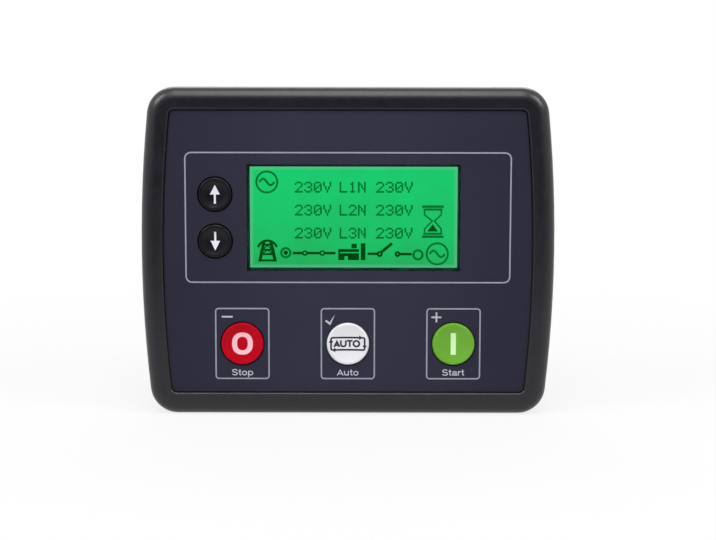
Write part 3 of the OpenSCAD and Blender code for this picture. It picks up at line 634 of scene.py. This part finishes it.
def layer_piece(name, sheet, surface, material, body, step=None):
    """Makes the shapes of a flat sheet into one thin piece on a surface, which rides on a body."""
    sheet = united(sheet)
    if step:
        refine(sheet, step)
    layer = thickened(sheet, surface)
    mesh = bpy.data.meshes.new(name)
    layer.to_mesh(mesh)
    layer.free()
    mesh.materials.append(material)
    piece = bpy.data.objects.new(name, mesh)
    bpy.context.scene.collection.objects.link(piece)
    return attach(piece, body)


def flat(depth):
    """A surface of one depth."""
    return lambda x, z: depth


# Print on the facia

def make_facia_print():
    """Prints the line frames, and the words and signs inside them."""
    stop, auto, start = (key_middle(key) for key in WORD_WIDTHS)
    sheet = bmesh.new()
    add_frame(sheet, DISPLAY_FRAME, DISPLAY_FRAME_R, (0.0, view_centre.z))
    for middle in (stop, auto, start):
        add_frame(sheet, KEY_FRAME, KEY_FRAME_R, (middle.x, middle.z))
    layer_piece("facia_frames", sheet, flat(film_front), print_ink("frame_ink"), "housing")

    sheet = bmesh.new()
    for key, (word, width) in WORD_WIDTHS.items():
        middle = key_middle(key)
        add_words(sheet, word, width, WORD_H, middle.x, middle.z - WORD_DROP, WORD_LINE)
    add_bar(sheet, (stop.x + MINUS_PLACE[0], stop.z + MINUS_PLACE[1]), MINUS_W, SIGN_LINE_W)
    add_cross(sheet, (start.x + PLUS_PLACE[0], start.z + PLUS_PLACE[1]), PLUS_W, SIGN_LINE_W)
    add_face(sheet, [(auto.x + x * MM, auto.z + z * MM) for x, z in TICK_MM])
    layer_piece("facia_signs", sheet, flat(film_front), print_ink("sign_ink"), "housing")


# Signs on the buttons

def dish_surface(button):
    """Depth of a button's finger dish at a place, a part of a ball."""
    low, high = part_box(button + "_button")
    middle = key_middle(button)
    dish_r = (high.x - low.x) / 2 - FLANGE_W - DISH_RIM
    ball_r = (dish_r ** 2 + DISH_DEPTH ** 2) / (2 * DISH_DEPTH)
    ball_y = low.y + DISH_DEPTH - ball_r

    def depth(x, z):
        return ball_y + math.sqrt(ball_r ** 2 - (x - middle.x) ** 2 - (z - middle.z) ** 2)
    return depth


def add_arrow(sheet, middle, up):
    """Adds an arrow that points up, or down where up is -1."""
    head_w, head_h = ARROW_HEAD
    shaft = ARROW_SHAFT_W / 2
    neck = ARROW_H / 2 - head_h
    outline = [
        (0, ARROW_H / 2), (-head_w / 2, neck), (-shaft, neck), (-shaft, -ARROW_H / 2),
        (shaft, -ARROW_H / 2), (shaft, neck), (head_w / 2, neck),
    ]
    add_face(sheet, [(middle.x + x, middle.z + up * z) for x, z in outline])


def ring_outline(half, middle, steps=48):
    """Points of a slightly squared oval."""
    points = []
    for i in range(steps):
        angle = 2 * math.pi * i / steps
        c, s = math.cos(angle), math.sin(angle)
        x = math.copysign(abs(c) ** (2 / RING_SQUARENESS), c)
        z = math.copysign(abs(s) ** (2 / RING_SQUARENESS), s)
        points.append((middle.x + half[0] * x, middle.z + half[1] * z))
    return points


def add_loop_arrows(sheet, middle):
    """Adds the loop's four arrowheads, which point clockwise."""
    length, width = LOOP_ARROW
    for turns, (x, z) in enumerate(LOOP_ARROW_PLACES):
        head = [(length / 2, 0), (-length / 2, width / 2), (-length / 2, -width / 2)]
        for _ in range(turns):
            head = [(b, -a) for a, b in head]
        add_face(sheet, [(middle.x + x + a, middle.z + z + b) for a, b in head])


def sign_piece(button, sheet, ink):
    """Makes a flat sheet into the sign in a button's dish."""
    layer_piece(button + "_sign", sheet, dish_surface(button), ink, button + "_key", SIGN_STEP)


def make_button_signs():
    """Prints two arrows, a nought, a bar, and the word AUTO in a loop."""
    white = print_ink("arrow_ink")
    for button, up in (("up", 1), ("down", -1)):
        sheet = bmesh.new()
        add_arrow(sheet, key_middle(button), up)
        sign_piece(button, sheet, white)

    sheet = bmesh.new()
    middle = key_middle("stop")
    add_ring(sheet, ring_outline(RING_OUTER, middle), ring_outline(RING_INNER, middle))
    sign_piece("stop", sheet, print_ink("stop_ink"))

    sheet = bmesh.new()
    middle = key_middle("start")
    add_bar(sheet, (middle.x, middle.z), *BAR_SIZE)
    sign_piece("start", sheet, print_ink("start_ink"))

    sheet = bmesh.new()
    middle = key_middle("auto")
    add_words(sheet, "AUTO", *AUTO_SIZE, middle.x + AUTO_ASIDE, middle.z - AUTO_SIZE[1] / 2, AUTO_LINE)
    add_frame(sheet, LOOP_SIZE, LOOP_R, (middle.x, middle.z), LOOP_LINE_W, LOOP_STEPS)
    add_loop_arrows(sheet, middle)
    sign_piece("auto", sheet, print_ink("auto_ink"))


# Picture on the display

LETTERS = {
    "0": " ### |#   #|#  ##|# # #|##  #|#   #| ### ",
    "1": "  #  | ##  |  #  |  #  |  #  |  #  | ### ",
    "2": " ### |#   #|    #|   # |  #  | #   |#####",
    "3": " ### |#   #|    #|  ## |    #|#   #| ### ",
    "L": "#    |#    |#    |#    |#    |#    |#####",
    "N": "#   #|##  #|# # #|# # #|#  ##|#   #|#   #",
    "V": "#   #|#   #|#   #| # # | # # |  #  |  #  ",
}
CIRCLE = [(math.cos(math.radians(9 * i)), math.sin(math.radians(9 * i))) for i in range(40)]


class Drawing:
    """Dark shapes on the display. Places are in dots, right and down from its top left corner."""

    def __init__(self):
        self.sheet = bmesh.new()

    def place(self, x, y):
        across = (x - DOTS_WIDE / 2) * DOT_PITCH
        down = (y - DOTS_HIGH / 2) * DOT_PITCH
        return (view_centre.x + across, view_centre.z - down)

    def shape(self, points):
        add_face(self.sheet, [self.place(x, y) for x, y in points])

    def block(self, left, top, right, bottom):
        self.shape([(left, top), (right, top), (right, bottom), (left, bottom)])

    def stroke(self, width, *points):
        add_stroke(self.sheet, width * DOT_PITCH, [self.place(x, y) for x, y in points])

    def disc(self, x, y, radius):
        self.shape([(x + radius * c, y + radius * s) for c, s in CIRCLE])

    def ring(self, x, y, radius, line):
        rims = []
        for r in (radius + line / 2, radius - line / 2):
            rims.append([self.place(x + r * c, y + r * s) for c, s in CIRCLE])
        add_ring(self.sheet, *rims)

    def wave_sign(self, x, y, radius):
        """The sign for alternating current."""
        self.ring(x, y, radius, WAVE_RING_LINE)
        wave = []
        for i in range(-WAVE_STEPS, WAVE_STEPS + 1):
            swing = WAVE_SWING * radius * math.sin(math.pi * i / WAVE_STEPS)
            wave.append((x + WAVE_REACH * radius * i / WAVE_STEPS, y + swing))
        self.stroke(WAVE_LINE, *wave)

    def words(self, left, top, pitch, text):
        """Letters of five by seven dots."""
        step = pitch / DOTS_PER_LETTER
        for i, letter in enumerate(text):
            for row, dots in enumerate(LETTERS[letter].split("|")):
                for column, mark in enumerate(dots):
                    if mark == "#":
                        x, y = left + pitch * i + step * column, top + row
                        self.block(x, y, x + step * DOT_SHARE, y + DOT_SHARE)

    def hourglass(self):
        """A sand glass between two pairs of plates."""
        self.block(108.5, 24.2, 122.5, 25.8)
        self.block(109.3, 26.2, 121.7, 27.6)
        for wall, neck in ((110.1, 115.1), (120.9, 116.5)):
            self.stroke(GLASS_LINE, (wall, 27.0), (wall, 30.3), (neck, 34.4), (wall, 39.5), (wall, 42.8))
        self.block(109.3, 42.0, 121.7, 43.4)
        self.block(108.5, 43.8, 122.5, 45.4)

    def sand(self):
        """Sand that has run down in the glass."""
        self.shape([(115.4, 36.5), (118.9, 41.2), (111.8, 41.2)])

    def pylon(self):
        """A lattice mast with a curved cross-arm."""
        middle = 7.9
        self.stroke(ARM_LINE, *arc((middle, 53.8), (6.5, 6.5), 200, 340))
        for side in (-1, 1):
            self.stroke(LEG_LINE, (middle + 2.2 * side, 47.6), (middle + 5.1 * side, 61.0))
        for height, half in ((50.0, 2.8), (53.3, 3.5), (56.2, 4.1), (60.3, 5.2)):
            self.stroke(RUNG_LINE, (middle - half, height), (middle + half, height))
        for height, half in ((53.0, 2.9), (55.9, 3.5)):
            peak = (middle, height - 2.4)
            self.stroke(BRACE_LINE, (middle - half, height), peak, (middle + half, height))

    def line_with_nodes(self):
        """The wire from the mains to the generating set."""
        self.disc(*WIRE_START, WIRE_START_R)
        for left, right in ((24.3, 31.0), (33.4, 42.4), (44.8, 52.2)):
            self.block(left, 54.6, right, 56.3)
        for node in (32.2, 43.6):
            self.ring(node, 55.45, 1.3, NODE_LINE)

    def genset(self):
        """An engine block with its exhaust, and the alternator beside it."""
        self.block(54.0, 52.8, 67.5, 54.7)
        self.block(54.0, 54.7, 55.3, 55.5)
        self.block(54.0, 55.5, 67.5, 57.4)
        self.block(54.0, 57.4, 58.0, 60.0)
        self.block(60.3, 57.4, 67.5, 60.0)
        self.block(62.6, 49.3, 66.1, 52.3)
        self.block(68.7, 49.0, 71.7, 60.0)

    def load_switch(self):
        """An open switch and its far contact."""
        self.block(73.1, 55.0, 79.6, 56.6)
        self.ring(81.0, 56.0, 1.25, CONTACT_LINE)
        self.stroke(BLADE_LINE, (81.7, 55.1), (89.0, 49.0))
        self.ring(92.6, 56.0, 1.2, CONTACT_LINE)
        self.block(93.7, 55.2, 101.9, 56.8)


def make_display():
    """Draws the text and thin signs in a lighter ink, and the solid signs in a darker one."""
    fine = Drawing()
    first_wave, last_wave = WAVE_SIGNS
    fine.wave_sign(*first_wave)
    for phase, top in TEXT_ROWS:
        for (left, pitch), text in zip(TEXT_COLUMNS, (VOLTAGE, phase, VOLTAGE)):
            fine.words(left, top, pitch, text)
    fine.hourglass()
    fine.wave_sign(*last_wave)
    for x, y in WIRE_ENDS:
        fine.ring(x, y, WIRE_END_R, WIRE_END_LINE)
    layer_piece("display_text", fine.sheet, flat(glass_front), lcd_ink("lcd_fine_ink_look"), "housing")

    bold = Drawing()
    bold.pylon()
    bold.line_with_nodes()
    bold.genset()
    bold.load_switch()
    bold.sand()
    layer_piece("display_picture", bold.sheet, flat(glass_front), lcd_ink("lcd_bold_ink_look"), "housing")


# Stage: floor, world, lamps and camera

def background_share(g):
    """One where a ray comes from the camera, a mirror or a clear sheet, else zero."""
    rays = g.new("LightPath").outputs
    share = g.math("MAXIMUM", rays["Is Camera Ray"], rays["Is Glossy Ray"])
    return g.math("MAXIMUM", share, rays["Is Transmission Ray"])


def front_angle(g):
    """Angle between a ray to the world and the way to the front."""
    way = g.coordinates["Generated"]
    facing = g.new("VectorMath", {0: way, 1: FRONT}, operation="DOT_PRODUCT")
    return g.math("ARCCOSINE", facing.outputs["Value"])


def mirror_strength(g, value, ends):
    """One, but in mirrors less where a value goes from the second to the first of these ends."""
    loss = g.spread(value, ends, (1 - FRONT_DIM, 0), "LINEAR")
    mirrored = g.new("LightPath").outputs["Is Glossy Ray"]
    return g.math("SUBTRACT", 1.0, g.math("MULTIPLY", loss, mirrored))


def make_world():
    """Plain even light, behind which the camera sees white."""
    world = bpy.data.worlds.new("studio")
    bpy.context.scene.world = world
    world.use_nodes = True
    world.node_tree.nodes.clear()
    g = Nodes(world.node_tree)
    light = g.new("Background", {"Color": WHITE, "Strength": WORLD_DIFFUSE})
    strength = mirror_strength(g, front_angle(g), ROOM_ANGLES)
    white = g.new("Background", {"Color": WHITE, "Strength": strength})
    g.show("World", background_share(g), light, white)


def floor_paper():
    """White paper that keeps the object's shadow near it and fades into the background."""
    material = bpy.data.materials.new("floor_paper")
    material.use_nodes = True
    material.node_tree.nodes.clear()
    g = Nodes(material.node_tree)
    paper = g.new("BsdfDiffuse", {"Color": (FLOOR_PAPER, FLOOR_PAPER, FLOOR_PAPER, 1)})
    glow = g.new("Emission", {"Strength": mirror_strength(g, g.axis("Y"), FLOOR_FRONT)})
    reach = g.new("VectorMath", {0: g.coordinates["Object"]}, operation="LENGTH").outputs["Value"]
    fade = g.spread(reach, (SHADOW_NEAR, SHADOW_FAR), (1 - SHADOW_SHARE, 1))
    g.show("Material", g.math("MULTIPLY", fade, background_share(g)), paper, glow)
    return material


def make_floor():
    bpy.ops.mesh.primitive_plane_add(size=2 * FLOOR_HALF, location=(0, 0, cad_low.z - FLOOR_DROP))
    floor = bpy.context.object
    floor.name = "floor"
    floor.data.materials.append(floor_paper())


def make_lamp(name, place, size, brightness):
    """A softbox that faces the object."""
    lamp = bpy.data.lights.new(name, "AREA")
    lamp.shape = "RECTANGLE"
    lamp.size, lamp.size_y = size
    lamp.energy = brightness * math.pi * size[0] * size[1]
    holder = bpy.data.objects.new(name, lamp)
    bpy.context.scene.collection.objects.link(holder)
    holder.location = place
    holder.rotation_mode = "QUATERNION"
    holder.rotation_quaternion = (-Vector(place)).to_track_quat("-Z", "Y")


def make_camera():
    """A camera in front of the object, a little above it."""
    camera = bpy.data.cameras.new("camera")
    camera.lens = LENS
    camera.sensor_width = SENSOR
    holder = bpy.data.objects.new("camera", camera)
    bpy.context.scene.collection.objects.link(holder)
    target = Vector((0, -SILHOUETTE_LEVEL, 0))
    back = Vector((0, -math.cos(LOOK_DOWN), math.sin(LOOK_DOWN)))
    place = target + CAMERA_DISTANCE * back + Vector((CAMERA_ASIDE, 0, 0))
    turn = Matrix.Rotation(math.radians(90) - CAMERA_TILT, 4, "X") @ Matrix.Rotation(CAMERA_ROLL, 4, "Z")
    holder.matrix_world = Matrix.Translation(place) @ turn
    bpy.context.scene.camera = holder


make_camera()
make_world()
make_floor()
for lamp_name, lamp_values in SOFTBOXES.items():
    make_lamp(lamp_name, *lamp_values)
bpy.context.scene.view_settings.view_transform = "Standard"
dress_solids()
make_facia_print()
make_button_signs()
make_display()
